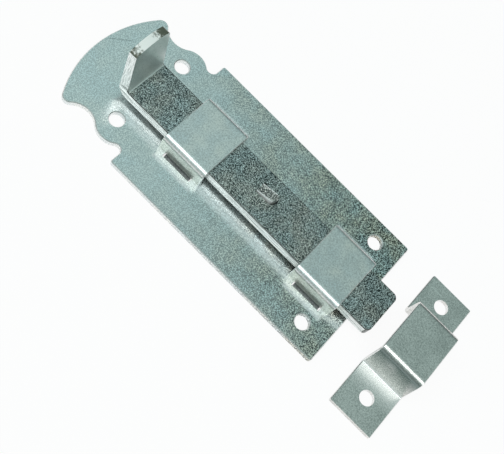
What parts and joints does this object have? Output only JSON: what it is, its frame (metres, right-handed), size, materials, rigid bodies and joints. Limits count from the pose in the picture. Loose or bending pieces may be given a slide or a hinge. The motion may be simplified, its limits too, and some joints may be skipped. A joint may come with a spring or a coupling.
{
  "type": "slide bolt",
  "caption": "Flat slide bolt of zinc-plated pressed steel: a bolt with a folded handle runs in straps on a scalloped plate and enters a folded keeper.",
  "frame": {"origin": "on the plate's back, midway between the head pair and the front pair of screw holes", "axes": "+X along the throw, from the handle to the keeper; +Y across the plate; +Z out of the plate"},
  "size_m": [0.1492, 0.0591, 0.0247],
  "materials": {
    "plate_zinc": "zinc-plated sheet, fine grain, half mirror",
    "strap_zinc": "zinc-plated strip, smooth satin",
    "bolt_zinc": "zinc-plated hot-rolled bar, rough speckled top, sheared bright sides",
    "keeper_zinc": "zinc-plated strip, smooth satin"
  },
  "bodies": {
    "base": {"base_plate": "plate_zinc", "rear_strap": "strap_zinc", "front_strap": "strap_zinc", "keeper": "keeper_zinc"},
    "bolt": {"bolt": "bolt_zinc"}
  },
  "joints": [
    {"name": "bolt_slide", "type": "slide", "parent": "base", "child": "bolt", "axis": [1, 0, 0], "range_m": [-0.0135, 0.018]}
  ]
}
